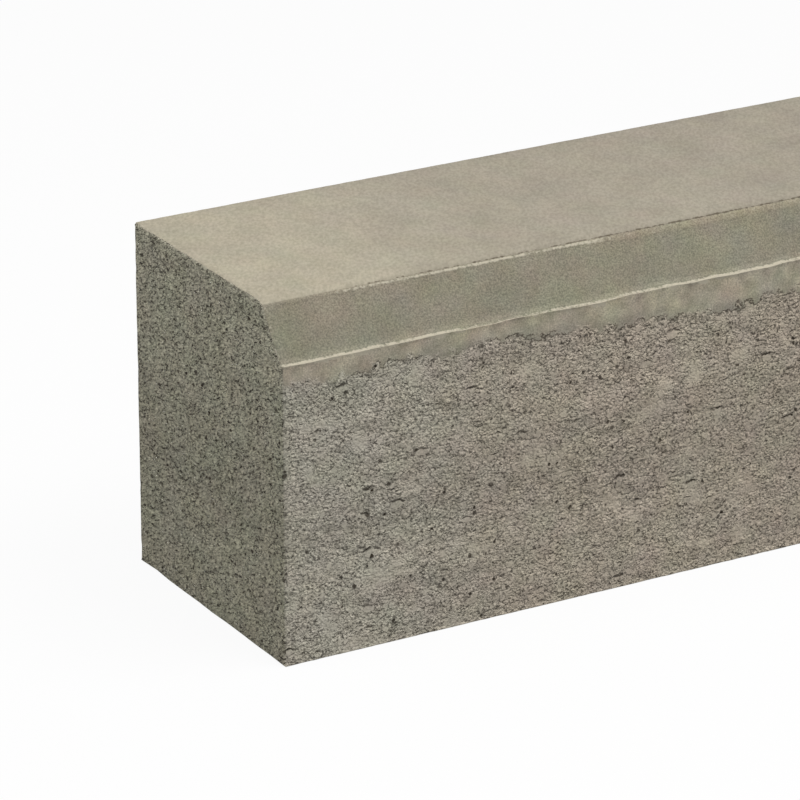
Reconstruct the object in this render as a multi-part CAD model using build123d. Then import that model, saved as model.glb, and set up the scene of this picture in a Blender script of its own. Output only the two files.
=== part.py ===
"""Concrete kerb stone, pressed as one piece.

A straight block with a level top, a splay along the top edge of the road face,
and a narrow lip where the splay's foot meets that face. Millimetres.

X runs along the kerb, the road face looks to -Y, the back face to +Y, and the
bed lies on Z = 0. The origin is the middle of the bed.
"""

import os

from build123d import *

# Block
LENGTH = 1000.0
BED_WIDTH = 200.0
HEIGHT = 240.0

# Splay along the top edge of the road face
SPLAY_RUN = 28.0  # from the road face back to the upper arris
SPLAY_DROP = 34.0  # from the top down to the lip
LIP_WIDTH = 4.0  # level ledge that the press head leaves at the splay's foot

# Arrises
SPLAY_ARRIS_RADIUS = 10.0  # top into splay, as the press head shapes it
LIP_ARRIS_RADIUS = 1.0
EDGE_ARRIS_RADIUS = 1.5  # back and bed edges, along the kerb
END_ARRIS_CHAMFER = 0.8  # round both ends, where the mould plates part

PARTS_FOLDER = "parts"


def kerb_section():
    """The cross-section in the YZ plane, its arrises rounded."""
    road_face = -BED_WIDTH / 2
    back_face = BED_WIDTH / 2
    splay_foot = HEIGHT - SPLAY_DROP

    bed_road = (road_face, 0)
    bed_back = (back_face, 0)
    top_back = (back_face, HEIGHT)
    splay_top = (road_face + SPLAY_RUN, HEIGHT)
    lip_root = (road_face + LIP_WIDTH, splay_foot)
    lip_edge = (road_face, splay_foot)
    arris_radii = [
        (bed_road, EDGE_ARRIS_RADIUS),
        (bed_back, EDGE_ARRIS_RADIUS),
        (top_back, EDGE_ARRIS_RADIUS),
        (splay_top, SPLAY_ARRIS_RADIUS),
        (lip_edge, LIP_ARRIS_RADIUS),
    ]

    with BuildSketch(Plane.YZ) as section:
        with BuildLine():
            Polyline(bed_road, bed_back, top_back, splay_top, lip_root, lip_edge, close=True)
        make_face()
        for corner, radius in arris_radii:
            fillet(section.vertices().sort_by_distance(corner)[0], radius)
    return section.sketch


def kerb_stone():
    """The section carried along the kerb, with the arrises of both ends broken."""
    with BuildPart() as kerb:
        extrude(kerb_section(), amount=LENGTH / 2, both=True)
        end_faces = kerb.faces().filter_by(Axis.X)
        chamfer(end_faces.edges(), END_ARRIS_CHAMFER)
    return kerb.part


os.makedirs(PARTS_FOLDER, exist_ok=True)
export_step(kerb_stone(), os.path.join(PARTS_FOLDER, "kerb_stone.step"))
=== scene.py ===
"""The looks of a concrete kerb stone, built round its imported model."""

import math

import bpy
import numpy as np
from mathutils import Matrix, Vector


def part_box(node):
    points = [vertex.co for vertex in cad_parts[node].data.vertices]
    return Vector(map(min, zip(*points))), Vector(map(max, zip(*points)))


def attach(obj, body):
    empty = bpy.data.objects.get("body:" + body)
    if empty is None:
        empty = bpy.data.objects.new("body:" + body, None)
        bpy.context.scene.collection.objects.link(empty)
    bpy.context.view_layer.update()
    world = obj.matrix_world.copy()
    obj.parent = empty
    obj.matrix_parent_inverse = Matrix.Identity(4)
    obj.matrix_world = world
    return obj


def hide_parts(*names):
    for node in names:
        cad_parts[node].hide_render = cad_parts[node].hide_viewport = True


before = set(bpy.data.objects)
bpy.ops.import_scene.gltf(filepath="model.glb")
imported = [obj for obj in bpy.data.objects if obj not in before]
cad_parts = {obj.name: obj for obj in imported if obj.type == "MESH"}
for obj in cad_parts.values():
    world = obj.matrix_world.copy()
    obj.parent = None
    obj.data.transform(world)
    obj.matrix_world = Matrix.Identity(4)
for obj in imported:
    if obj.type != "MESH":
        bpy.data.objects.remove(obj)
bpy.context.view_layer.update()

# The block's outline
# The kerb is one block of stiff concrete, pressed in a steel mould: a level top, a splay towards the
# road, and a narrow lip at the splay's foot. The outline runs round the section, in millimetres.
MM = 0.001
low, high = (np.array(corner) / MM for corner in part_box("kerb_stone"))
HALF_LENGTH = high[0]
ROAD, BACK = low[1], high[1]
TOP = high[2]
SPLAY_RUN = 28.0
SPLAY_DROP = 34.0
LIP_WIDTH = 4.0
LIP_TOP = TOP - SPLAY_DROP
BAND_HEIGHT = 14.0  # smooth band under the lip, down to the open face, near the ends
BAND_GROWTH = 8.0  # by how much the band is taller further in
BAND_SPARE = 4.0  # by how much the fine mesh of the band goes on under it
BURR_REACH = 12.0  # stretch of the splay, from its head, that holds the burr of the press head
EDGE_RADIUS = 1.5
LIP_RADIUS = 1.0
ARRIS_RADIUS = 10.0
ARC_STEP = 0.9


def rounded_outline(corners):
    """Walks round a closed outline of (y, z, radius, step) corners: each corner becomes an arc that
    touches both its sides, and the side after it is cut into equal pieces no longer than its step.
    Gives the points and their outward normals."""
    places = np.array([corner[:2] for corner in corners])
    ahead = np.roll(places, -1, axis=0) - places
    lengths = np.linalg.norm(ahead, axis=1)
    ahead /= lengths[:, None]
    headings = np.arctan2(ahead[:, 1], ahead[:, 0])
    turns = (headings - np.roll(headings, 1) + math.pi) % (2 * math.pi) - math.pi
    radii = np.array([corner[2] for corner in corners])
    cuts = radii * np.tan(np.abs(turns) / 2)
    points, normals = [], []
    for i, (_, _, radius, step) in enumerate(corners):
        pieces = math.ceil(radius * abs(turns[i]) / ARC_STEP) if radius else 0
        angles = headings[i] - math.pi / 2 - turns[i] * np.linspace(1, 0, pieces + 1)
        arc_normals = np.stack([np.cos(angles), np.sin(angles)], axis=1)
        bulge = math.copysign(radius, turns[i])
        centre = places[i] + ahead[i] * cuts[i] - arc_normals[-1] * bulge
        points.append(centre + arc_normals * bulge)
        normals.append(arc_normals)
        following = (i + 1) % len(corners)
        run = lengths[i] - cuts[i] - cuts[following]
        count = math.ceil(run / step)
        along = cuts[i] + run * np.arange(1, count) / count
        points.append(places[i] + ahead[i] * along[:, None])
        normals.append(np.repeat(arc_normals[-1:], count - 1, axis=0))
    return np.concatenate(points), np.concatenate(normals)


splay_foot = np.array([ROAD + LIP_WIDTH, LIP_TOP])
splay_head = np.array([ROAD + SPLAY_RUN, TOP])
splay_length = np.linalg.norm(splay_foot - splay_head)
splay_down = (splay_foot - splay_head) / splay_length
burr_end = splay_head + splay_down * BURR_REACH
section, section_normal = rounded_outline([
    (ROAD, 0.0, EDGE_RADIUS, 20.0),
    (BACK, 0.0, EDGE_RADIUS, 5.0),
    (BACK, TOP, EDGE_RADIUS, 12.0),
    (*splay_head, ARRIS_RADIUS, 0.7),
    (*burr_end, 0.0, 3.0),
    (*splay_foot, LIP_RADIUS, 0.8),
    (ROAD, LIP_TOP, LIP_RADIUS, 1.2),
    (ROAD, LIP_TOP - BAND_HEIGHT - BAND_GROWTH - BAND_SPARE, 0.0, 2.1),
])

# The block's relief
# Where the mould slid off, the road face, the back and the ends are open: lumps of gravel, hollows
# between them and broken arrises. All of it is cut inwards from the outline, so the size stays.
COLUMN_STEP = 2.7
END_MARGIN = 5.0  # from each end to the first of the even columns
END_STRIP = 1.0  # from each end to the column beside it, where the end's arris is broken


def cell_number(cells, seed):
    """A random number from 0 to 1 for each whole-number cell: the three cell numbers and the seed
    are multiplied by large odd numbers, added, and stirred by shifts."""
    x, y, z = np.moveaxis(cells.astype(np.int64).astype(np.uint32), -1, 0)
    stirred = x * np.uint32(0x8DA6B343) + y * np.uint32(0xD8163841) + z * np.uint32(0xCB1AB31F)
    stirred = stirred + np.uint32(seed * 0x9E3779B9 & 0xFFFFFFFF)
    for shift, factor in ((15, 0x2C1B3C6D), (12, 0x297A2D39), (15, 0x846CA68B)):
        stirred = (stirred ^ (stirred >> np.uint32(shift))) * np.uint32(factor)
    return (stirred ^ (stirred >> np.uint32(16))) / 2.0**32


def smooth(edge_low, edge_high, value):
    """Rises from 0 at the first edge to 1 at the second along the cubic that is flat at both."""
    t = np.clip((value - edge_low) / (edge_high - edge_low), 0.0, 1.0)
    return t * t * (3.0 - 2.0 * t)


def lumps(points, size, seed, octaves=1):
    """Smooth noise from 0 to 1: random values at the corners of cubes of this size, blended inside
    each cube. Every further octave has cubes half as large and half the weight."""
    total, weight = 0.0, 0.0
    for octave in range(octaves):
        grid = points / (size / 2**octave)
        cells = np.floor(grid)
        t = smooth(0.0, 1.0, grid - cells)
        value = 0.0
        for corner in np.ndindex(2, 2, 2):
            share = np.prod(np.where(corner, t, 1.0 - t), axis=-1)
            value = value + share * cell_number(cells + np.array(corner), seed + octave)
        total = total + value / 2**octave
        weight += 1.0 / 2**octave
    return total / weight


def nearest_stone(points, size, seed):
    """Scatters one point in each cube of this size and gives, for each place, the distance to the
    nearest one in sizes, and that point's own random number."""
    cells = np.floor(points / size)
    best = np.full(points.shape[:-1], 9.0)
    number = np.zeros(points.shape[:-1])
    for offset in np.ndindex(3, 3, 3):
        near = cells + np.array(offset) - 1.0
        inside = np.stack([cell_number(near, seed + axis) for axis in range(3)], axis=-1)
        distance = np.linalg.norm(points / size - near - inside, axis=-1)
        closer = distance < best
        best = np.where(closer, distance, best)
        number = np.where(closer, cell_number(near, seed + 3), number)
    return best, number


EDGE_DEPTH = 0.8  # the open faces lie this far inside the mould plane along their edges
EDGE_FADE = 14.0  # this far from an edge they have their full relief


def open_face(points, from_edge):
    """Depth in millimetres of the open concrete below its mould plane: broad lumps sway it, gravel
    roughens it, stones stand proud and hollows sink, and all fade to one depth at the arrises."""
    sway = lumps(points, 30.0, 11, octaves=2)
    gravel = lumps(points, 7.0, 21, octaves=2)
    distance, number = nearest_stone(points, 13.0, 31)
    stone = smooth(0.52, 0.25, distance) * smooth(0.45, 0.6, number)
    hollow = smooth(0.64, 0.80, lumps(points, 11.0, 41, octaves=2))
    depth = 0.5 + 0.6 * sway + 0.9 * gravel - 0.6 * stone + 0.8 * hollow
    return EDGE_DEPTH + (depth - EDGE_DEPTH) * (0.15 + 0.85 * smooth(0.0, EDGE_FADE, from_edge))


inner_columns = 2 * math.floor((HALF_LENGTH - END_MARGIN) / COLUMN_STEP) + 1
column_x = np.linspace(END_MARGIN - HALF_LENGTH, HALF_LENGTH - END_MARGIN, inner_columns)
end_columns = np.array([HALF_LENGTH - END_STRIP, HALF_LENGTH])
column_x = np.concatenate([-end_columns[::-1], column_x, end_columns])
x = np.repeat(column_x[:, None], len(section), axis=1)
y = np.repeat(section[None, :, 0], len(column_x), axis=0)
z = np.repeat(section[None, :, 1], len(column_x), axis=0)
outward_y = np.repeat(section_normal[None, :, 0], len(column_x), axis=0)
outward_z = np.repeat(section_normal[None, :, 1], len(column_x), axis=0)
places = np.stack([x, y, z], axis=-1)
line = np.stack([x, np.zeros_like(x), np.zeros_like(x)], axis=-1)
from_end = HALF_LENGTH - np.abs(x)

# The open face starts at the band's wavering edge; the top, the splay and the band stay closed
BAND_WAVER = 8.0
band_edge = LIP_TOP - BAND_HEIGHT - BAND_GROWTH * smooth(120.0, 320.0, from_end)
band_edge = band_edge + BAND_WAVER * (lumps(line, 60.0, 51, octaves=3) - 0.5)
on_road = smooth(0.90, 0.99, -outward_y)
road_open = on_road * smooth(9.0, -11.0, z - band_edge)
back_open = smooth(0.60, 0.95, outward_y)
bed_open = smooth(6.0, 3.0, z)
openness = np.maximum(np.maximum(road_open, back_open), bed_open)
bed_flat = 0.9 * smooth(EDGE_RADIUS, 0.0, z)  # the bed was pressed nearly flat on the pallet
face_depth = open_face(places, np.minimum(from_end, np.minimum(z, TOP - z))) * (1.0 - bed_flat)

down_splay = (y - splay_head[0]) * splay_down[0] + (z - splay_head[1]) * splay_down[1]
on_splay = smooth(0.15, 0.35, -outward_y) * smooth(LIP_TOP + 0.2, LIP_TOP + 1.5, z)
on_ledge = smooth(LIP_TOP - 0.6, LIP_TOP, z) * smooth(LIP_WIDTH + 1.0, LIP_WIDTH, y - ROAD)

# The press head leaves a burr along the head of the splay, faint near the ends and scraped further in
BURR_PLACE = 2.2  # below the meeting line of top and splay
BURR_WIDTH = 2.4
SCRAPED_WIDTH = 3.0  # added where the burr is scraped
SEAM_WIDTH = 0.75
past_burr = down_splay - BURR_PLACE
on_top = smooth(0.40, 0.60, outward_z) * smooth(TOP - 6.0, TOP - 4.0, z) * smooth(0.5, -0.5, past_burr)
burr_breaks = smooth(0.3, 0.6, lumps(line, 25.0, 71, octaves=3))
burr_strength = smooth(20.0, 95.0, from_end) * (0.7 + 0.3 * burr_breaks)
scraped = smooth(225.0, 275.0, from_end)
burr_width = BURR_WIDTH + SCRAPED_WIDTH * scraped
seam = np.exp(-(((past_burr + 0.2) / SEAM_WIDTH) ** 2)) * burr_strength * (0.78 + 0.22 * scraped)
burr = smooth(0.1, 0.7, past_burr) * smooth(1.2, 0.7, past_burr / burr_width)
burr = burr * burr_strength * on_splay
splay_depth = on_splay * (0.6 * seam + 0.35 * smooth(0.7, 1.3, past_burr / burr_width))

# The lip stands a little proud of the band under it; it wavers in height, and its edge is ragged
LIP_WAVER = 2.6
LIP_RAGGED = 1.2
DRIP_LENGTH = 3.0
lip_sway = LIP_WAVER * (lumps(line, 30.0, 83, octaves=4) - 0.5) * smooth(0.0, 25.0, from_end)
lip_sway = lip_sway * smooth(12.0, 2.5, np.abs(z - LIP_TOP)) * (y < splay_head[0])
lip = smooth(1.5, 0.7, np.abs(z - LIP_TOP)) * smooth(LIP_WIDTH - 0.4, LIP_WIDTH - 1.8, y - ROAD)
lip = lip * smooth(-0.5, 0.2, outward_z - outward_y)
lip_depth = lip * LIP_RAGGED * lumps(line, 7.0, 81, octaves=3)
drip = DRIP_LENGTH * smooth(0.35, 0.8, lumps(line, 6.0, 87, octaves=2))
lip_skin = smooth(1.6, 0.6, np.maximum(LIP_TOP - z - drip, z - LIP_TOP))
lip_skin = lip_skin * smooth(LIP_WIDTH, LIP_WIDTH - 1.6, y - ROAD)
band_depth = on_road * smooth(1.2, 2.4, LIP_TOP - z) * (0.6 + 0.4 * lumps(line, 15.0, 61))

# The arrises along the back and the bed are worn here and there
ARRIS_WEAR = 0.45
on_arris = smooth(0.995, 0.90, np.maximum(np.abs(outward_y), np.abs(outward_z)))
on_arris = on_arris * (1.0 - on_splay) * (1.0 - lip)
wear_depth = on_arris * ARRIS_WEAR * smooth(0.5, 0.85, lumps(places, 9.0, 91, octaves=2))
depth = openness * face_depth + (1.0 - openness) * band_depth + splay_depth + lip_depth + wear_depth

# The mesh of the block
# The outline is carried along the kerb; at both ends the arris is broken by a small, uneven cut, and
# the end face closes the block in rings that shrink towards its middle.
END_BREAK = 0.7
CHIP_DEPTH = 0.9
CRUMB_DEPTH = 0.6
RINGS = 20
END_RELIEF = 0.6  # the ends have this much of the long faces' relief
CENTRE_DEPTH = 0.4
end_places = places[[0, -1]]
end_break = END_BREAK + CHIP_DEPTH * smooth(0.5, 0.9, lumps(end_places, 8.0, 101, octaves=2))
end_break = end_break + CRUMB_DEPTH * lumps(end_places, 3.5, 102)
inset = depth.copy()
inset[[0, -1]] = inset[[1, -2]] + end_break
skin = np.stack([x, y - inset * outward_y, z - inset * outward_z + lip_sway], axis=-1)
skin[1, :, 0] = -HALF_LENGTH + end_break[0]
skin[-2, :, 0] = HALF_LENGTH - end_break[1]

shrink = np.linspace(1.0, 0.0, RINGS + 1)[1:-1, None, None]
middle = np.array([0.5 * (ROAD + BACK), 0.48 * TOP])
caps = []
for edge_ring, side in ((skin[0], -1.0), (skin[-1], 1.0)):
    spokes = edge_ring[None, :, 1:] - middle
    rings = middle + spokes * shrink
    flat = np.concatenate([np.full_like(rings[..., :1], side * HALF_LENGTH), rings], axis=-1)
    from_arris = (1.0 - shrink[..., 0]) * np.linalg.norm(spokes, axis=-1)
    end_depth = np.maximum(open_face(flat, from_arris) - 0.85 * EDGE_DEPTH, 0.0)
    flat[..., 0] -= side * END_RELIEF * end_depth
    caps.append(flat.reshape(-1, 3))
centres = np.array([[side * (HALF_LENGTH - CENTRE_DEPTH), *middle] for side in (-1.0, 1.0)])

columns, around = len(column_x), len(section)
skin_count = columns * around
cap_count = (RINGS - 1) * around
vertices = np.concatenate([skin.reshape(-1, 3), *caps, centres])
next_around = np.roll(np.arange(around), -1)


def ring_quads(rows):
    """Joins each row of vertex numbers to the next: one quad for each pair of neighbours, closed
    round, turned so that it faces outwards when the rows run towards +X."""
    first, second = rows[:-1], rows[1:]
    quads = np.stack([first, second, second[:, next_around], first[:, next_around]], axis=-1)
    return quads.reshape(-1, 4)


skin_rows = np.arange(skin_count).reshape(columns, around)
left_rows = skin_count + np.arange(cap_count).reshape(RINGS - 1, around)
right_rows = left_rows + cap_count
left_rows = np.concatenate([skin_rows[:1], left_rows])
right_rows = np.concatenate([skin_rows[-1:], right_rows])
left_centre = skin_count + 2 * cap_count
skin_quads = ring_quads(skin_rows)
left_quads = ring_quads(left_rows[::-1])
right_quads = ring_quads(right_rows)
left_rim, right_rim = left_rows[-1], right_rows[-1]
left_fan = np.stack([np.full(around, left_centre), left_rim, left_rim[next_around]], axis=1)
right_fan = np.stack([np.full(around, left_centre + 1), right_rim[next_around], right_rim], axis=1)
faces = [group.tolist() for group in (skin_quads, left_quads, right_quads, left_fan, right_fan)]

SHARP_ANGLE = math.radians(50.0)
block_mesh = bpy.data.meshes.new("cast_kerb")
block_mesh.from_pydata((vertices * MM).tolist(), [], sum(faces, []))
kerb = bpy.data.objects.new("cast_kerb", block_mesh)
bpy.context.scene.collection.objects.link(kerb)
block_mesh.shade_smooth()
block_mesh.set_sharp_from_angle(angle=SHARP_ANGLE)

# The skin is laid out flat for a texture: the kerb's length across, its girth upwards with the bed at
# half height, and the two ends side by side above it, all at about one texel to the millimetre.
TEXELS = 1024.0
MARGIN = 10.0
girth_steps = np.linalg.norm(np.roll(section, -1, axis=0) - section, axis=1)
girth_steps = np.where(section_normal[:, 1] < -0.9, 0.5 * girth_steps, girth_steps)
girth = np.concatenate([[0.0], np.cumsum(girth_steps)])
lengthwise = column_x + HALF_LENGTH
skin_u = np.stack([lengthwise[:-1], lengthwise[1:], lengthwise[1:], lengthwise[:-1]], axis=-1)
skin_v = np.stack([girth[:-1], girth[:-1], girth[1:], girth[1:]], axis=-1)
skin_uv = np.stack(np.broadcast_arrays(skin_u[:, None, :], skin_v[None, :, :]), axis=-1).reshape(-1, 2)
end_uv = np.stack([vertices[:, 2], vertices[:, 1] - ROAD + girth[-1] + MARGIN], axis=-1)
left_uv = [end_uv[group.ravel()] for group in (left_quads, left_fan)]
right_uv = [end_uv[group.ravel()] + [TOP + MARGIN, 0.0] for group in (right_quads, right_fan)]
texture_uv = np.concatenate([skin_uv, left_uv[0], right_uv[0], left_uv[1], right_uv[1]])
texture_uv = (texture_uv + MARGIN) / TEXELS
block_mesh.uv_layers.new(name="OFBake").uv.foreach_set("vector", texture_uv.astype(np.float32).ravel())


def paint(name, skin_values, cap_value):
    """Stores a number at each vertex, for the material: the skin's own, and one for both end faces."""
    values = np.concatenate([skin_values.ravel(), np.full(2 * cap_count + 2, cap_value)])
    attribute = block_mesh.attributes.new(name, "FLOAT", "POINT")
    attribute.data.foreach_set("value", values.astype(np.float32))


# Where each finish lies: open, top and splay, how far down the splay, the pale cement skin of lip and
# burr, the scraped burr, the seam whose groove gets painted shade, the ends, and the browner stretch
# further in
on_end = np.zeros_like(x)
on_end[[0, -1]] = 1.0
end_arris = np.zeros_like(x)
end_arris[[0, 1, -2, -1]] = 1.0
end_arris = 0.45 * end_arris * np.maximum(on_top, on_splay)
lip_strength = 0.45 + 0.75 * smooth(0.3, 0.7, lumps(line, 70.0, 1875, octaves=2))
brown = smooth(30.0, 220.0, from_end) * (0.75 + 0.25 * lumps(line, 200.0, 111, octaves=2))
paint("open", np.maximum(openness, on_end), 1.0)
paint("top", on_top, 0.0)
paint("splay", np.maximum(on_splay, on_ledge), 0.0)
paint("drop", np.clip(down_splay / splay_length, 0.0, 1.0), 0.0)
pale = np.maximum(np.maximum(lip_skin * lip_strength, burr * (1.2 - scraped)), end_arris)
paint("pale", pale, 0.0)
paint("scrape", burr * scraped, 0.0)
paint("seam", seam * on_splay, 0.0)
paint("end", on_end, 1.0)
paint("brown", brown * (1.0 - on_end), 0.0)

# The finish of the concrete
# Dry pressed concrete: grey cement round sand and fine gravel, never polished. Open faces show domed
# grains, with painted highlights on their tops and painted shade in the gaps between; the pressed faces
# show only cloudy cement, and lip and burr its pale skin.


def linear(colour):
    """sRGB hex to linear red, green, blue and alpha."""
    channels = np.array([int(colour[i : i + 2], 16) for i in (1, 3, 5)]) / 255.0
    curved = np.where(channels <= 0.04045, channels / 12.92, ((channels + 0.055) / 1.055) ** 2.4)
    return (*curved.tolist(), 1.0)


def add_node(tree, kind, inputs=(), output=0, **settings):
    """Adds a shader node of this kind, sets its settings, links or fills its inputs, and gives the
    output that is named, or the node itself where that is None."""
    node = tree.nodes.new("ShaderNode" + kind)
    for name, value in settings.items():
        setattr(node, name, value)
    for name, value in dict(inputs).items():
        if isinstance(value, bpy.types.NodeSocket):
            tree.links.new(value, node.inputs[name])
        else:
            node.inputs[name].default_value = value
    return node if output is None else node.outputs[output]


concrete = bpy.data.materials.new("pressed_concrete")
concrete.use_nodes = True
tree = concrete.node_tree
tree.nodes.clear()

object_place = add_node(tree, "TexCoord", output="Object")
place = add_node(tree, "VectorMath", {0: object_place, "Scale": 1.0 / MM}, operation="SCALE")

# The press spreads the mix, so that its pattern lies a little wider than high and leans across the ends
SPREAD = (0.95, 1.0, 1.0)
LEAN = (0.0, -0.3, 0.25)  # for each millimetre across the kerb
WARP_SIZE = 4.0
WARP_REACH = 3.0
across = add_node(tree, "SeparateXYZ", {0: place}, "Y")
drift = add_node(tree, "CombineXYZ", {"Y": across, "Z": across})
drift = add_node(tree, "VectorMath", {0: drift, 1: LEAN}, operation="MULTIPLY")
settled = add_node(tree, "VectorMath", {0: place, 1: SPREAD, 2: drift}, operation="MULTIPLY_ADD")
warp = add_node(tree, "TexNoise", {"Vector": settled, "Scale": 1 / WARP_SIZE, "Detail": 1.0}, "Color")
warp = add_node(tree, "VectorMath", {0: warp, 1: (0.5, 0.5, 0.5)}, operation="SUBTRACT")
warp = add_node(tree, "VectorMath", {0: warp, "Scale": WARP_REACH}, operation="SCALE")
warped = add_node(tree, "VectorMath", {0: settled, 1: warp}, operation="ADD")
painted = {
    name: add_node(tree, "Attribute", output="Fac", attribute_name=name)
    for name in ("open", "top", "splay", "drop", "pale", "scrape", "seam", "end", "brown")
}

# Sand: uneven grains 2.8 mm apart, with finer ones among them. Their tops get a painted highlight, as
# of light from above; where they are packed loosely, painted shade darkens the gaps, mostly under them
SPECKLE_SIZE = 1.5
GRAIN_SPACING = 2.8
PACKING_SIZE = 7.0
speckle = add_node(tree, "TexNoise", {"Vector": settled, "Scale": 1 / SPECKLE_SIZE, "Detail": 2.0})
uneven = add_node(tree, "Math", {0: speckle, 1: 0.5}, operation="SUBTRACT")
grain_cells = add_node(
    tree, "TexVoronoi",
    {"Vector": warped, "Scale": 1 / GRAIN_SPACING, "Detail": 1.0, "Roughness": 0.7}, None)
grain_distance = add_node(tree, "Math", {0: grain_cells.outputs["Distance"], 1: 0.65},
                          operation="MULTIPLY")
from_grain = add_node(tree, "Math", {0: uneven, 1: 1.3, 2: grain_distance},
                      operation="MULTIPLY_ADD")
grain_number = add_node(tree, "SeparateColor", {0: grain_cells.outputs["Color"]})
grain_number = add_node(tree, "Math", {0: grain_number, 1: 0.5}, operation="SUBTRACT")
shade_under_grain = add_node(tree, "VectorMath", {0: grain_cells.outputs["Position"], 1: warped},
                       operation="SUBTRACT")
shade_under_grain = add_node(tree, "SeparateXYZ", {0: shade_under_grain}, "Z")
# Painted highlight on the upper side of each grain, as lit from above
grain_top_highlight = add_node(
    tree, "MapRange",
    {"Value": shade_under_grain, "From Min": 0.1, "From Max": -0.8, "To Min": -0.25, "To Max": 0.75},
    interpolation_type="SMOOTHSTEP")
shade_under_grain = add_node(
    tree, "MapRange", {"Value": shade_under_grain, "From Min": -0.2, "From Max": 0.7, "To Min": 0.25},
    interpolation_type="SMOOTHSTEP")
packing = add_node(tree, "VectorMath", {0: settled, 1: (0.55, 1.0, 1.0)}, operation="MULTIPLY")
packing = add_node(tree, "TexNoise", {"Vector": packing, "Scale": 1 / PACKING_SIZE, "Detail": 3.0})
# Painted shade in the gaps between grains, mostly under them
gap_shade = add_node(tree, "Math", {0: packing, 1: 1.1, 2: from_grain}, operation="MULTIPLY_ADD")
gap_shade = add_node(tree, "MapRange", {"Value": gap_shade, "From Min": 1.14, "From Max": 1.44},
               interpolation_type="SMOOTHSTEP")
gap_shade = add_node(tree, "Math", {0: gap_shade, 1: shade_under_grain}, operation="MULTIPLY")

# Pits: here and there on the long faces the mix has torn open, wider than high, sunk and painted with shade
PIT_SPACING = 24.0
PIT_HALF = (5.0, 5.0, 1.7)
PIT_SHARE = 0.5
pit_cells = add_node(tree, "TexVoronoi", {"Vector": warped, "Scale": 1 / PIT_SPACING}, None)
pit_numbers = add_node(tree, "SeparateColor", {0: pit_cells.outputs["Color"]}, None)
pit_size = add_node(tree, "MapRange",
                    {"Value": pit_numbers.outputs["Green"], "To Min": 0.4, "To Max": 1.4})
from_pit = add_node(tree, "VectorMath", {0: warped, 1: pit_cells.outputs["Position"]},
                    operation="SUBTRACT")
from_pit = add_node(tree, "VectorMath", {0: from_pit, 1: PIT_HALF}, operation="DIVIDE")
from_pit = add_node(tree, "VectorMath", {0: from_pit}, "Value", operation="LENGTH")
from_pit = add_node(tree, "Math", {0: from_pit, 1: pit_size}, operation="DIVIDE")
from_pit = add_node(tree, "Math", {0: uneven, 1: -2.6, 2: from_pit}, operation="MULTIPLY_ADD")
is_pit = add_node(tree, "Math", {0: pit_numbers.outputs["Red"], 1: PIT_SHARE}, operation="LESS_THAN")
is_pit = add_node(tree, "Math", {0: is_pit, 1: painted["end"]}, operation="SUBTRACT", use_clamp=True)
pit = add_node(
    tree, "MapRange", {"Value": from_pit, "From Min": 1.0, "From Max": 0.3, "To Max": 0.75},
    interpolation_type="SMOOTHSTEP")
pit = add_node(tree, "Math", {0: pit, 1: is_pit}, operation="MULTIPLY")

# Pores: small hollows 3 mm apart or more, of uneven size and depth, few on the long faces and many on
# the ends; sunk in the relief and darkened with painted shade
PORE_SPACING = 3.0
FACE_PORE_SHARE = 0.03
END_PORE_SHARE = 0.40
pore_cells = add_node(tree, "TexVoronoi", {"Vector": warped, "Scale": 1 / PORE_SPACING}, None)
pore_numbers = add_node(tree, "SeparateColor", {0: pore_cells.outputs["Color"]}, None)
pore_share = add_node(
    tree, "MapRange", {"Value": painted["end"], "To Min": FACE_PORE_SHARE, "To Max": END_PORE_SHARE})
is_pore = add_node(tree, "Math", {0: pore_numbers.outputs["Red"], 1: pore_share}, operation="LESS_THAN")
pore_size = add_node(tree, "MapRange",
                     {"Value": pore_numbers.outputs["Green"], "To Min": 0.26, "To Max": 0.58})
from_pore = add_node(tree, "Math", {0: uneven, 1: 0.8, 2: pore_cells.outputs["Distance"]},
                     operation="MULTIPLY_ADD")
pore = add_node(tree, "Math", {0: pore_size, 1: from_pore}, operation="SUBTRACT")
pore = add_node(tree, "MapRange", {"Value": pore, "From Max": 0.2}, interpolation_type="SMOOTHSTEP")
pore_depth = add_node(tree, "MapRange", {"Value": pore_numbers.outputs["Blue"], "To Min": 0.7})
pore = add_node(tree, "Math", {0: pore, 1: pore_depth}, operation="MULTIPLY")
pore = add_node(tree, "Math", {0: pore, 1: is_pore}, operation="MULTIPLY")

# Fine gravel 4 mm apart: one in ten shows as a smooth pebble
GRAVEL_SPACING = 4.0
PEBBLES_OVER = 0.9
gravel_cells = add_node(tree, "TexVoronoi", {"Vector": warped, "Scale": 1 / GRAVEL_SPACING}, None)
gravel_number = add_node(tree, "SeparateColor", {0: gravel_cells.outputs["Color"]})
from_gravel = add_node(tree, "Math", {0: uneven, 1: 0.7, 2: gravel_cells.outputs["Distance"]},
                       operation="MULTIPLY_ADD")
is_pebble = add_node(tree, "Math", {0: gravel_number, 1: PEBBLES_OVER}, operation="GREATER_THAN")
pebble = add_node(tree, "MapRange", {"Value": from_gravel, "From Min": 0.6, "From Max": 0.4},
                  interpolation_type="SMOOTHSTEP")
pebble = add_node(tree, "Math", {0: pebble, 1: is_pebble}, operation="MULTIPLY")

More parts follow.
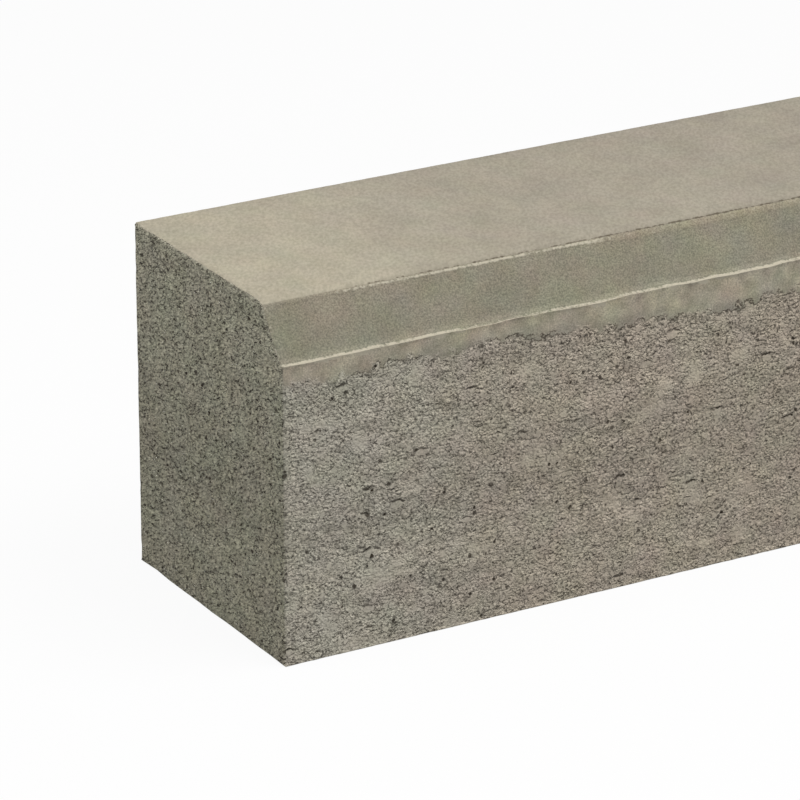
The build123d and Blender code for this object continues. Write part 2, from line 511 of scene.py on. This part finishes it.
# Stones of up to 11 by 7 mm in the long faces: the mix has parted from them above, leaving a hollow
# along the crown, sunk in the relief and darkened with a painted shadow
STONE_SPACING = 18.0
STONE_HALF = (5.2, 5.2, 3.2)
STONES_OVER = 0.5
stone_cells = add_node(tree, "TexVoronoi", {"Vector": warped, "Scale": 1 / STONE_SPACING}, None)
stone_number = add_node(tree, "SeparateColor", {0: stone_cells.outputs["Color"]})
is_stone = add_node(tree, "Math", {0: stone_number, 1: STONES_OVER}, operation="GREATER_THAN")
is_stone = add_node(tree, "Math", {0: is_stone, 1: painted["end"]}, operation="SUBTRACT", use_clamp=True)
stone_size = add_node(
    tree, "MapRange", {"Value": stone_number, "From Min": STONES_OVER, "To Min": 0.45, "To Max": 1.1})
from_stone = add_node(tree, "VectorMath", {0: warped, 1: stone_cells.outputs["Position"]},
                      operation="SUBTRACT")
above_stone = add_node(tree, "SeparateXYZ", {0: from_stone}, "Z")
from_stone = add_node(tree, "VectorMath", {0: from_stone, 1: STONE_HALF}, operation="DIVIDE")
from_stone = add_node(tree, "VectorMath", {0: from_stone}, "Value", operation="LENGTH")
from_stone = add_node(tree, "Math", {0: from_stone, 1: stone_size}, operation="DIVIDE")
from_stone = add_node(tree, "Math", {0: uneven, 1: 0.5, 2: from_stone}, operation="MULTIPLY_ADD")
stone = add_node(tree, "MapRange", {"Value": from_stone, "From Min": 0.95, "From Max": 0.7},
                 interpolation_type="SMOOTHSTEP")
stone = add_node(tree, "Math", {0: stone, 1: is_stone}, operation="MULTIPLY")
rim = add_node(tree, "Math", {0: from_stone, 1: 1.05}, operation="SUBTRACT")
rim = add_node(tree, "Math", {0: rim}, operation="ABSOLUTE")
rim = add_node(tree, "MapRange", {"Value": rim, "From Min": 0.32, "From Max": 0.06},
               interpolation_type="SMOOTHSTEP")
rim_open = add_node(tree, "MapRange", {"Value": packing, "From Min": 0.34, "From Max": 0.5})
rim = add_node(tree, "Math", {0: rim, 1: rim_open}, operation="MULTIPLY")
crown = add_node(tree, "MapRange", {"Value": above_stone, "From Min": 0.8, "From Max": 2.2},
                 interpolation_type="SMOOTHSTEP")
rim = add_node(tree, "Math", {0: rim, 1: crown}, operation="MULTIPLY")
rim = add_node(tree, "Math", {0: rim, 1: is_stone}, operation="MULTIPLY")

# Smeared places: here and there on the long faces, and on pebbles and stones, no grains show
SMEAR_SIZE = 20.0
smear_place = add_node(tree, "TexNoise", {"Vector": settled, "Scale": 1 / SMEAR_SIZE, "Detail": 3.0})
smear = add_node(tree, "Math", {0: painted["end"], 1: -0.2, 2: smear_place}, operation="MULTIPLY_ADD")
smear = add_node(
    tree, "MapRange", {"Value": smear, "From Min": 0.56, "From Max": 0.66, "To Max": 0.7},
    interpolation_type="SMOOTHSTEP")
smear = add_node(tree, "Math", {0: smear, 1: pebble}, operation="MAXIMUM")
smear = add_node(tree, "Math", {0: smear, 1: stone}, operation="MAXIMUM")
bare = add_node(tree, "Math", {0: 1.0, 1: smear}, operation="SUBTRACT")

# Under the lip and on the arrises the open face starts patch by patch
PATCH_SIZE = 8.0
PATCH_WEIGHT = 7.0
mottle = add_node(tree, "TexNoise", {"Vector": settled, "Scale": 1 / PATCH_SIZE, "Detail": 4.0})
patch = add_node(tree, "Math", {0: grain_number, 1: 0.15, 2: mottle}, operation="MULTIPLY_ADD")
patch = add_node(tree, "Math", {0: patch, 1: 0.5}, operation="SUBTRACT")
unopened = add_node(tree, "Math", {0: 1.0, 1: painted["open"]}, operation="SUBTRACT")
between = add_node(tree, "Math", {0: painted["open"], 1: unopened}, operation="MULTIPLY")
patch = add_node(tree, "Math", {0: patch, 1: between}, operation="MULTIPLY")
patch = add_node(tree, "Math", {0: patch, 1: PATCH_WEIGHT, 2: painted["open"]}, operation="MULTIPLY_ADD")
opened = add_node(tree, "MapRange", {"Value": patch, "From Min": 0.3, "From Max": 0.8},
                  interpolation_type="SMOOTHSTEP")

# Where that edge overhangs, a shadow is painted under it
overhang_shadow = add_node(tree, "Math", {0: patch, 1: 0.55}, operation="SUBTRACT")
overhang_shadow = add_node(tree, "Math", {0: overhang_shadow}, operation="ABSOLUTE")
overhang_shadow = add_node(tree, "MapRange",
                    {"Value": overhang_shadow, "From Min": 0.14, "From Max": 0.0, "To Max": 0.8},
                    interpolation_type="SMOOTHSTEP")
overhang_shadow_place = add_node(tree, "MapRange",
                          {"Value": smear_place, "From Min": 0.46, "From Max": 0.56})
overhang_shadow = add_node(tree, "Math", {0: overhang_shadow, 1: overhang_shadow_place}, operation="MULTIPLY",
                    use_clamp=True)

# Colour of the open faces: cement that is greyer near the ends and browner further in, in faint level
# layers, each grain a little lighter or darker with a painted highlight on its top, and painted shade
# in gaps, pores, pits and the hollows over stones
RAW_GREY = linear("#CFC9B8")
RAW_BROWN = linear("#CCBFAC")
END_LOW = linear("#C1BCA6")
END_HIGH = linear("#CBC7B0")
PAINTED_SHADE = linear("#33291C")
LAYER_SIZE = (300.0, 300.0, 18.0)
DARKER_HEIGHT = 100.0  # middle of the darker layer
raw = add_node(tree, "Mix", {0: painted["brown"], 6: RAW_GREY, 7: RAW_BROWN}, 2, data_type="RGBA")
height = add_node(tree, "SeparateXYZ", {0: place}, "Z")
end_height = add_node(tree, "MapRange", {"Value": height, "From Max": 0.8 * TOP})
end_raw = add_node(tree, "Mix", {0: end_height, 6: END_LOW, 7: END_HIGH}, 2, data_type="RGBA")
raw = add_node(tree, "Mix", {0: painted["end"], 6: raw, 7: end_raw}, 2, data_type="RGBA")
layers = add_node(tree, "VectorMath", {0: place, 1: LAYER_SIZE}, operation="DIVIDE")
layers = add_node(tree, "TexNoise", {"Vector": layers, "Scale": 1.0, "Detail": 3.0})
layers = add_node(tree, "MapRange",
                  {"Value": layers, "From Min": 0.3, "From Max": 0.7, "To Min": 0.9, "To Max": 1.1})
from_middle = add_node(tree, "Math", {0: height, 1: DARKER_HEIGHT}, operation="SUBTRACT")
from_middle = add_node(tree, "Math", {0: from_middle}, operation="ABSOLUTE")
middle_value = add_node(
    tree, "MapRange",
    {"Value": from_middle, "From Min": 15.0, "From Max": 50.0, "To Min": 0.93, "To Max": 1.02},
    interpolation_type="SMOOTHSTEP")
layers = add_node(tree, "Math", {0: layers, 1: middle_value}, operation="MULTIPLY")
# Each grain a little lighter or darker at random, plus a painted highlight on its top
grain_value_and_highlight = add_node(tree, "Math", {0: grain_top_highlight, 1: 0.9, 2: grain_number}, operation="MULTIPLY_ADD")
grain_value_and_highlight = add_node(tree, "Math", {0: grain_value_and_highlight, 1: bare}, operation="MULTIPLY")
grain_value_and_highlight = add_node(tree, "Math", {0: grain_value_and_highlight, 1: 0.28, 2: layers}, operation="MULTIPLY_ADD")
grain_value_and_highlight = add_node(tree, "Math", {0: uneven, 1: -0.9, 2: grain_value_and_highlight}, operation="MULTIPLY_ADD")
raw = add_node(tree, "VectorMath", {0: raw, "Scale": grain_value_and_highlight}, operation="SCALE")
# Painted shade in the gaps, stronger on the ends
gap_shade_share = add_node(tree, "Math", {0: painted["end"], 1: 0.25, 2: 0.75}, operation="MULTIPLY_ADD")
painted_gap_shade = add_node(tree, "Math", {0: gap_shade, 1: bare}, operation="MULTIPLY")
painted_gap_shade = add_node(tree, "Math", {0: painted_gap_shade, 1: gap_shade_share}, operation="MULTIPLY")
# Painted shadow in the hollow over each stone's crown
rim_shadow = add_node(tree, "Math", {0: rim, 1: 0.9}, operation="MULTIPLY")
# Painted shade: gaps, pores, pits and the hollows over stones are darkened with one shade colour
hollow_shade = add_node(tree, "Math", {0: painted_gap_shade, 1: pore}, operation="MAXIMUM")
hollow_shade = add_node(tree, "Math", {0: hollow_shade, 1: rim_shadow}, operation="MAXIMUM")
hollow_shade = add_node(tree, "Math", {0: hollow_shade, 1: pit}, operation="MAXIMUM")
raw = add_node(tree, "Mix", {0: hollow_shade, 6: raw, 7: PAINTED_SHADE}, 2, data_type="RGBA")

# Colour of the pressed faces: a cloudy top, a speckled splay that is greener towards its foot, and a
# brownish, mottled band with faint upright streaks
SPLAY_HEAD = linear("#968F7D")
SPLAY_FOOT = linear("#8F8C7A")
SCRAPED = linear("#9F9682")
BAND_BROWN = linear("#C0B7A2")
BAND_GREY = linear("#BAB5A3")
TOP_GREY = linear("#B3AB97")
TOP_BROWN = linear("#A29A8B")
CLOUD_SIZE = 30.0
FINES_SIZE = 1.1
TOP_SPECKLE_SIZE = 1.8
STREAK_SIZE = (3.5, 3.5, 30.0)
cloud = add_node(tree, "TexNoise", {"Vector": settled, "Scale": 1 / CLOUD_SIZE, "Detail": 2.0})
cloud = add_node(tree, "MapRange",
                 {"Value": cloud, "From Min": 0.3, "From Max": 0.7, "To Min": 0.93, "To Max": 1.07})
fines = add_node(tree, "TexNoise", {"Vector": settled, "Scale": 1 / FINES_SIZE, "Detail": 2.0})
splay_speckle = add_node(tree, "MapRange",
                         {"Value": fines, "From Min": 0.3, "From Max": 0.7, "To Min": 0.68, "To Max": 1.32})
top_speckle = add_node(
    tree, "Mapping",
    {"Vector": place, "Rotation": (0.0, 0.0, math.radians(-30.0)), "Scale": (1.0, 2.0, 1.0)},
    vector_type="TEXTURE")
top_speckle = add_node(
    tree, "TexNoise", {"Vector": top_speckle, "Scale": 1 / TOP_SPECKLE_SIZE, "Detail": 2.0})
top_speckle = add_node(
    tree, "MapRange",
    {"Value": top_speckle, "From Min": 0.3, "From Max": 0.7, "To Min": 0.87, "To Max": 1.13})
streak_place = add_node(tree, "VectorMath", {0: place, 1: STREAK_SIZE}, operation="DIVIDE")
streak = add_node(tree, "TexNoise", {"Vector": streak_place, "Scale": 1.0, "Detail": 2.0})
streak_value = add_node(tree, "MapRange",
                        {"Value": streak, "From Min": 0.3, "From Max": 0.7, "To Min": 0.97, "To Max": 1.03})
splay = add_node(tree, "Mix", {0: painted["drop"], 6: SPLAY_HEAD, 7: SPLAY_FOOT}, 2, data_type="RGBA")
splay = add_node(tree, "Mix", {0: painted["scrape"], 6: splay, 7: SCRAPED}, 2, data_type="RGBA")
splay = add_node(tree, "VectorMath", {0: splay, "Scale": splay_speckle}, operation="SCALE")
band = add_node(tree, "Mix", {0: painted["open"], 6: BAND_BROWN, 7: BAND_GREY}, 2, data_type="RGBA")
band_value = add_node(tree, "MapRange",
                      {"Value": mottle, "From Min": 0.3, "From Max": 0.7, "To Min": 0.80, "To Max": 1.20})
band_value = add_node(tree, "Math", {0: band_value, 1: streak_value}, operation="MULTIPLY")
band_speckle = add_node(tree, "MapRange",
                        {"Value": fines, "From Min": 0.3, "From Max": 0.7, "To Min": 0.75, "To Max": 1.25})
band_value = add_node(tree, "Math", {0: band_value, 1: band_speckle}, operation="MULTIPLY")
band = add_node(tree, "VectorMath", {0: band, "Scale": band_value}, operation="SCALE")
level = add_node(tree, "Mix", {0: painted["brown"], 6: TOP_GREY, 7: TOP_BROWN}, 2, data_type="RGBA")
level = add_node(tree, "VectorMath", {0: level, "Scale": top_speckle}, operation="SCALE")
pressed = add_node(tree, "Mix", {0: painted["splay"], 6: band, 7: splay}, 2, data_type="RGBA")
pressed = add_node(tree, "Mix", {0: painted["top"], 6: pressed, 7: level}, 2, data_type="RGBA")
pressed = add_node(tree, "VectorMath", {0: pressed, "Scale": cloud}, operation="SCALE")

# Cement skin: pale on the lip and on the burr, ragged along its edges, with painted shade in the groove
# of the seam over the burr; the hue of all but the skin and the seam drifts a little
SKIN_PALE = linear("#CAC2AE")
SEAM_SHADE = linear("#5B5242")
TINT_SIZE = 22.0
TINT_SPAN = 0.22
ragged = add_node(tree, "Math", {0: speckle, 1: streak}, operation="ADD")
skin_edge = add_node(tree, "Math", {0: ragged, 1: 1.8, 2: painted["pale"]}, operation="MULTIPLY_ADD")
skin_edge = add_node(tree, "MapRange", {"Value": skin_edge, "From Min": 2.1, "From Max": 3.0},
                     interpolation_type="SMOOTHSTEP")
on_skin = add_node(tree, "MapRange", {"Value": painted["pale"], "From Max": 0.25})
skin_edge = add_node(tree, "Math", {0: skin_edge, 1: on_skin}, operation="MULTIPLY")
# Painted shade in the groove of the seam
seam_shade = add_node(tree, "Math", {0: streak, 1: 1.6, 2: painted["seam"]}, operation="MULTIPLY_ADD")
seam_shade = add_node(tree, "MapRange",
                     {"Value": seam_shade, "From Min": 1.25, "From Max": 1.65, "To Max": 0.8},
                     interpolation_type="SMOOTHSTEP")
colour = add_node(tree, "Mix", {0: opened, 6: pressed, 7: raw}, 2, data_type="RGBA")
# Painted shadow under the overhanging edge
colour = add_node(tree, "Mix", {0: overhang_shadow, 6: colour, 7: PAINTED_SHADE}, 2, data_type="RGBA")
tint = add_node(tree, "TexNoise", {"Vector": settled, "Scale": 1 / TINT_SIZE, "Detail": 2.0}, "Color")
tint = add_node(
    tree, "VectorMath", {0: tint, 1: (TINT_SPAN,) * 3, 2: (1.0 - TINT_SPAN / 2,) * 3},
    operation="MULTIPLY_ADD")
tinted = add_node(tree, "VectorMath", {0: colour, 1: tint}, operation="MULTIPLY")
tint_share = add_node(tree, "Math", {0: painted["top"], 1: -0.67, 2: 1.0}, operation="MULTIPLY_ADD")
tint_share = add_node(tree, "Math", {0: opened, 1: -0.55, 2: tint_share}, operation="MULTIPLY_ADD")
tint_share = add_node(tree, "Math", {0: painted["splay"], 1: -0.18, 2: tint_share},
                      operation="MULTIPLY_ADD", use_clamp=True)
colour = add_node(tree, "Mix", {0: tint_share, 6: colour, 7: tinted}, 2, data_type="RGBA")
colour = add_node(tree, "Mix", {0: skin_edge, 6: colour, 7: SKIN_PALE}, 2, data_type="RGBA")
colour = add_node(tree, "Mix", {0: seam_shade, 6: colour, 7: SEAM_SHADE}, 2, data_type="RGBA")

# Relief too fine for the mesh, in millimetres: domed grains, higher on the ends, with pebbles and stones
# standing proud, and rims, pores and pits sunk
GRAIN_HEIGHT = 0.65
GRAIN_FALL = 2.4
PEBBLE_HEIGHT = 0.5
STONE_HEIGHT = 0.5
RIM_DEPTH = 1.2
PORE_DEPTH = 1.4
PIT_DEPTH = 1.2
dome = add_node(tree, "Math", {0: from_grain, 1: from_grain}, operation="MULTIPLY")
dome = add_node(tree, "Math", {0: dome, 1: -GRAIN_FALL, 2: GRAIN_HEIGHT}, operation="MULTIPLY_ADD")
relief = add_node(tree, "Math", {0: dome, 1: bare}, operation="MULTIPLY")
end_growth = add_node(tree, "Math", {0: painted["end"], 1: 0.8, 2: 1.0}, operation="MULTIPLY_ADD")
relief = add_node(tree, "Math", {0: relief, 1: end_growth}, operation="MULTIPLY")
relief = add_node(tree, "Math", {0: pebble, 1: PEBBLE_HEIGHT, 2: relief}, operation="MULTIPLY_ADD")
relief = add_node(tree, "Math", {0: stone, 1: STONE_HEIGHT, 2: relief}, operation="MULTIPLY_ADD")
relief = add_node(tree, "Math", {0: rim, 1: -RIM_DEPTH, 2: relief}, operation="MULTIPLY_ADD")
relief = add_node(tree, "Math", {0: pore, 1: -PORE_DEPTH, 2: relief}, operation="MULTIPLY_ADD")
relief = add_node(tree, "Math", {0: pit, 1: -PIT_DEPTH, 2: relief}, operation="MULTIPLY_ADD")
relief = add_node(tree, "Math", {0: relief, 1: opened}, operation="MULTIPLY")
speckle_height = add_node(tree, "Math", {0: painted["top"], 1: -0.25, 2: 0.3}, operation="MULTIPLY_ADD")
relief = add_node(tree, "Math", {0: speckle, 1: speckle_height, 2: relief}, operation="MULTIPLY_ADD")
bumped = add_node(tree, "Bump", {"Height": relief, "Distance": MM}, "Normal")

shader = add_node(tree, "BsdfPrincipled",
                  {"Base Color": colour, "Roughness": 0.9, "Specular IOR Level": 0.25, "Normal": bumped})
add_node(tree, "OutputMaterial", {"Surface": shader}, output=None)

block_mesh.materials.append(concrete)
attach(kerb, "root")
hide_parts("kerb_stone")

# The floor
# A pale studio floor that carries the kerb's soft shadow. It shows from above only, so that the bed
# can be seen from below.
FLOOR_HALF = 40.0
FLOOR_GLOW = 0.93  # share of the floor that is plain white; the rest takes light and shadow
floor_mesh = bpy.data.meshes.new("floor")
floor_corners = [(-FLOOR_HALF, -FLOOR_HALF, 0.0), (FLOOR_HALF, -FLOOR_HALF, 0.0),
                 (FLOOR_HALF, FLOOR_HALF, 0.0), (-FLOOR_HALF, FLOOR_HALF, 0.0)]
floor_mesh.from_pydata(floor_corners, [], [(0, 1, 2, 3)])
floor = bpy.data.objects.new("floor", floor_mesh)
bpy.context.scene.collection.objects.link(floor)
floor.visible_diffuse = False
floor.visible_glossy = False
floor.visible_shadow = False

studio_white = bpy.data.materials.new("studio_white")
studio_white.use_nodes = True
tree = studio_white.node_tree
tree.nodes.clear()
lit = add_node(tree, "BsdfDiffuse", {"Color": (0.95, 0.95, 0.95, 1.0)})
white = add_node(tree, "Emission", {"Strength": 1.0})
seen = add_node(tree, "MixShader", {0: FLOOR_GLOW, 1: lit, 2: white})
below = add_node(tree, "NewGeometry", output="Backfacing")
clear = add_node(tree, "BsdfTransparent")
seen = add_node(tree, "MixShader", {0: below, 1: seen, 2: clear})
add_node(tree, "OutputMaterial", {"Surface": seen}, output=None)
floor_mesh.materials.append(studio_white)

# The light
# One large soft lamp overhead, towards the road side and the far end, a weak one over the near end,
# and an even pale room that shows as white.
ROOM_STRENGTH = 0.34
WHITE = (1.0, 1.0, 1.0, 1.0)
world = bpy.data.worlds.new("studio")
bpy.context.scene.world = world
world.use_nodes = True
tree = world.node_tree
tree.nodes.clear()
rays = add_node(tree, "LightPath", output=None)
shows = add_node(tree, "Math",
                 {0: rays.outputs["Is Camera Ray"], 1: rays.outputs["Is Glossy Ray"]}, operation="ADD")
shows = add_node(tree, "Math", {0: shows, 1: rays.outputs["Is Transmission Ray"]}, operation="ADD",
                 use_clamp=True)
room = add_node(tree, "Background", {"Color": WHITE, "Strength": ROOM_STRENGTH})
backdrop = add_node(tree, "Background", {"Color": WHITE, "Strength": 1.0})
sky = add_node(tree, "MixShader", {0: shows, 1: room, 2: backdrop})
add_node(tree, "OutputWorld", {"Surface": sky}, output=None)

lamps = [
    ("softbox", (0.35, -0.9, 2.3), (1.6, 1.2), 34.0),
    ("near_end_lamp", (-1.6, 0.1, 1.9), (1.0, 1.0), 10.0),
]
lamp_aim = Vector((-0.3, 0.0, 0.15))
for name, position, size, power in lamps:
    lamp_data = bpy.data.lights.new(name, "AREA")
    lamp_data.shape = "RECTANGLE"
    lamp_data.size, lamp_data.size_y = size
    lamp_data.energy = power
    lamp = bpy.data.objects.new(name, lamp_data)
    bpy.context.scene.collection.objects.link(lamp)
    lamp.location = position
    lamp.rotation_euler = (lamp_aim - lamp.location).to_track_quat("-Z", "Y").to_euler()

# The camera
# A long lens that looks along the road face from above the near end.
CAMERA_TURN = math.radians(30.2)
CAMERA_DROP = math.radians(21.57)
CAMERA_DISTANCE = 3.162
CAMERA_LENS = 225.0
camera_aim = Vector((-0.4156, -0.1, 0.1668))
looking = Vector((math.sin(CAMERA_TURN) * math.cos(CAMERA_DROP),
                  math.cos(CAMERA_TURN) * math.cos(CAMERA_DROP), -math.sin(CAMERA_DROP)))
camera_data = bpy.data.cameras.new("camera")
camera_data.lens = CAMERA_LENS
camera = bpy.data.objects.new("camera", camera_data)
bpy.context.scene.collection.objects.link(camera)
camera.location = camera_aim - looking * CAMERA_DISTANCE
camera.rotation_euler = looking.to_track_quat("-Z", "Y").to_euler()
bpy.context.scene.camera = camera
bpy.context.scene.view_settings.view_transform = "Standard"
